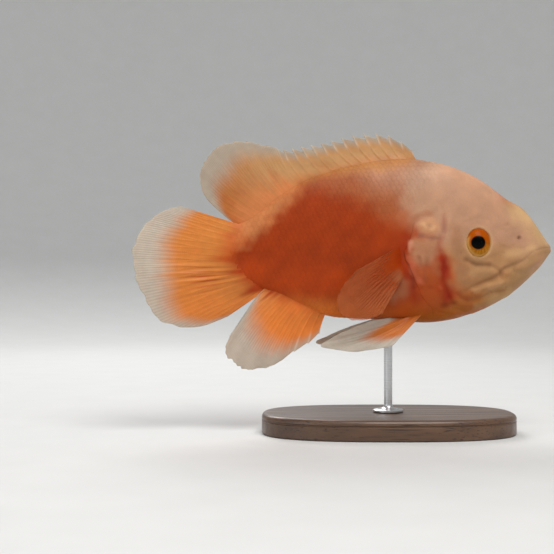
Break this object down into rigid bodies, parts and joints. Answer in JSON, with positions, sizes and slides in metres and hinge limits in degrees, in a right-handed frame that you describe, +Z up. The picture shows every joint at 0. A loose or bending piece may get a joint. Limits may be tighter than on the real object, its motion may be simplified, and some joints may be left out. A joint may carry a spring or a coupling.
{
  "type": "oscar fish",
  "caption": "Life-size oscar cichlid with spread fins, swimming on a short rod above a plain oval display base.",
  "frame": {"origin": "centre of the underside of the stand's base, straight below the rod", "axes": "+X towards the fish's nose, +Z up, -Y out of the fish's right flank, which is the side the picture shows"},
  "size_m": [0.2488, 0.088, 0.1774],
  "materials": {
    "flank_skin": "wet scaled skin, deep orange red",
    "face_skin": "wet smooth skin, pale peach",
    "fin": "orange membrane with milky margins over fine rays",
    "clear_fin": "thin clear membrane over fine rays",
    "eye": "polished, amber ring round a dark pupil",
    "stand_wood": "satin dark wood",
    "stand_metal": "brushed"
  },
  "bodies": {
    "root": {"head": "face_skin", "lower_jaw": "face_skin", "gill_cover_right": "face_skin", "gill_cover_left": "face_skin", "trunk": "flank_skin", "tail_stem": "flank_skin", "eye_right": "eye", "eye_left": "eye", "dorsal_fin": "fin", "anal_fin": "fin", "tail_fin": "fin", "pectoral_fin_right": "clear_fin", "pectoral_fin_left": "clear_fin", "pelvic_fin_right": "fin", "pelvic_fin_left": "fin", "stand_base": "stand_wood", "stand_rod": "stand_metal"}
  },
  "joints": []
}
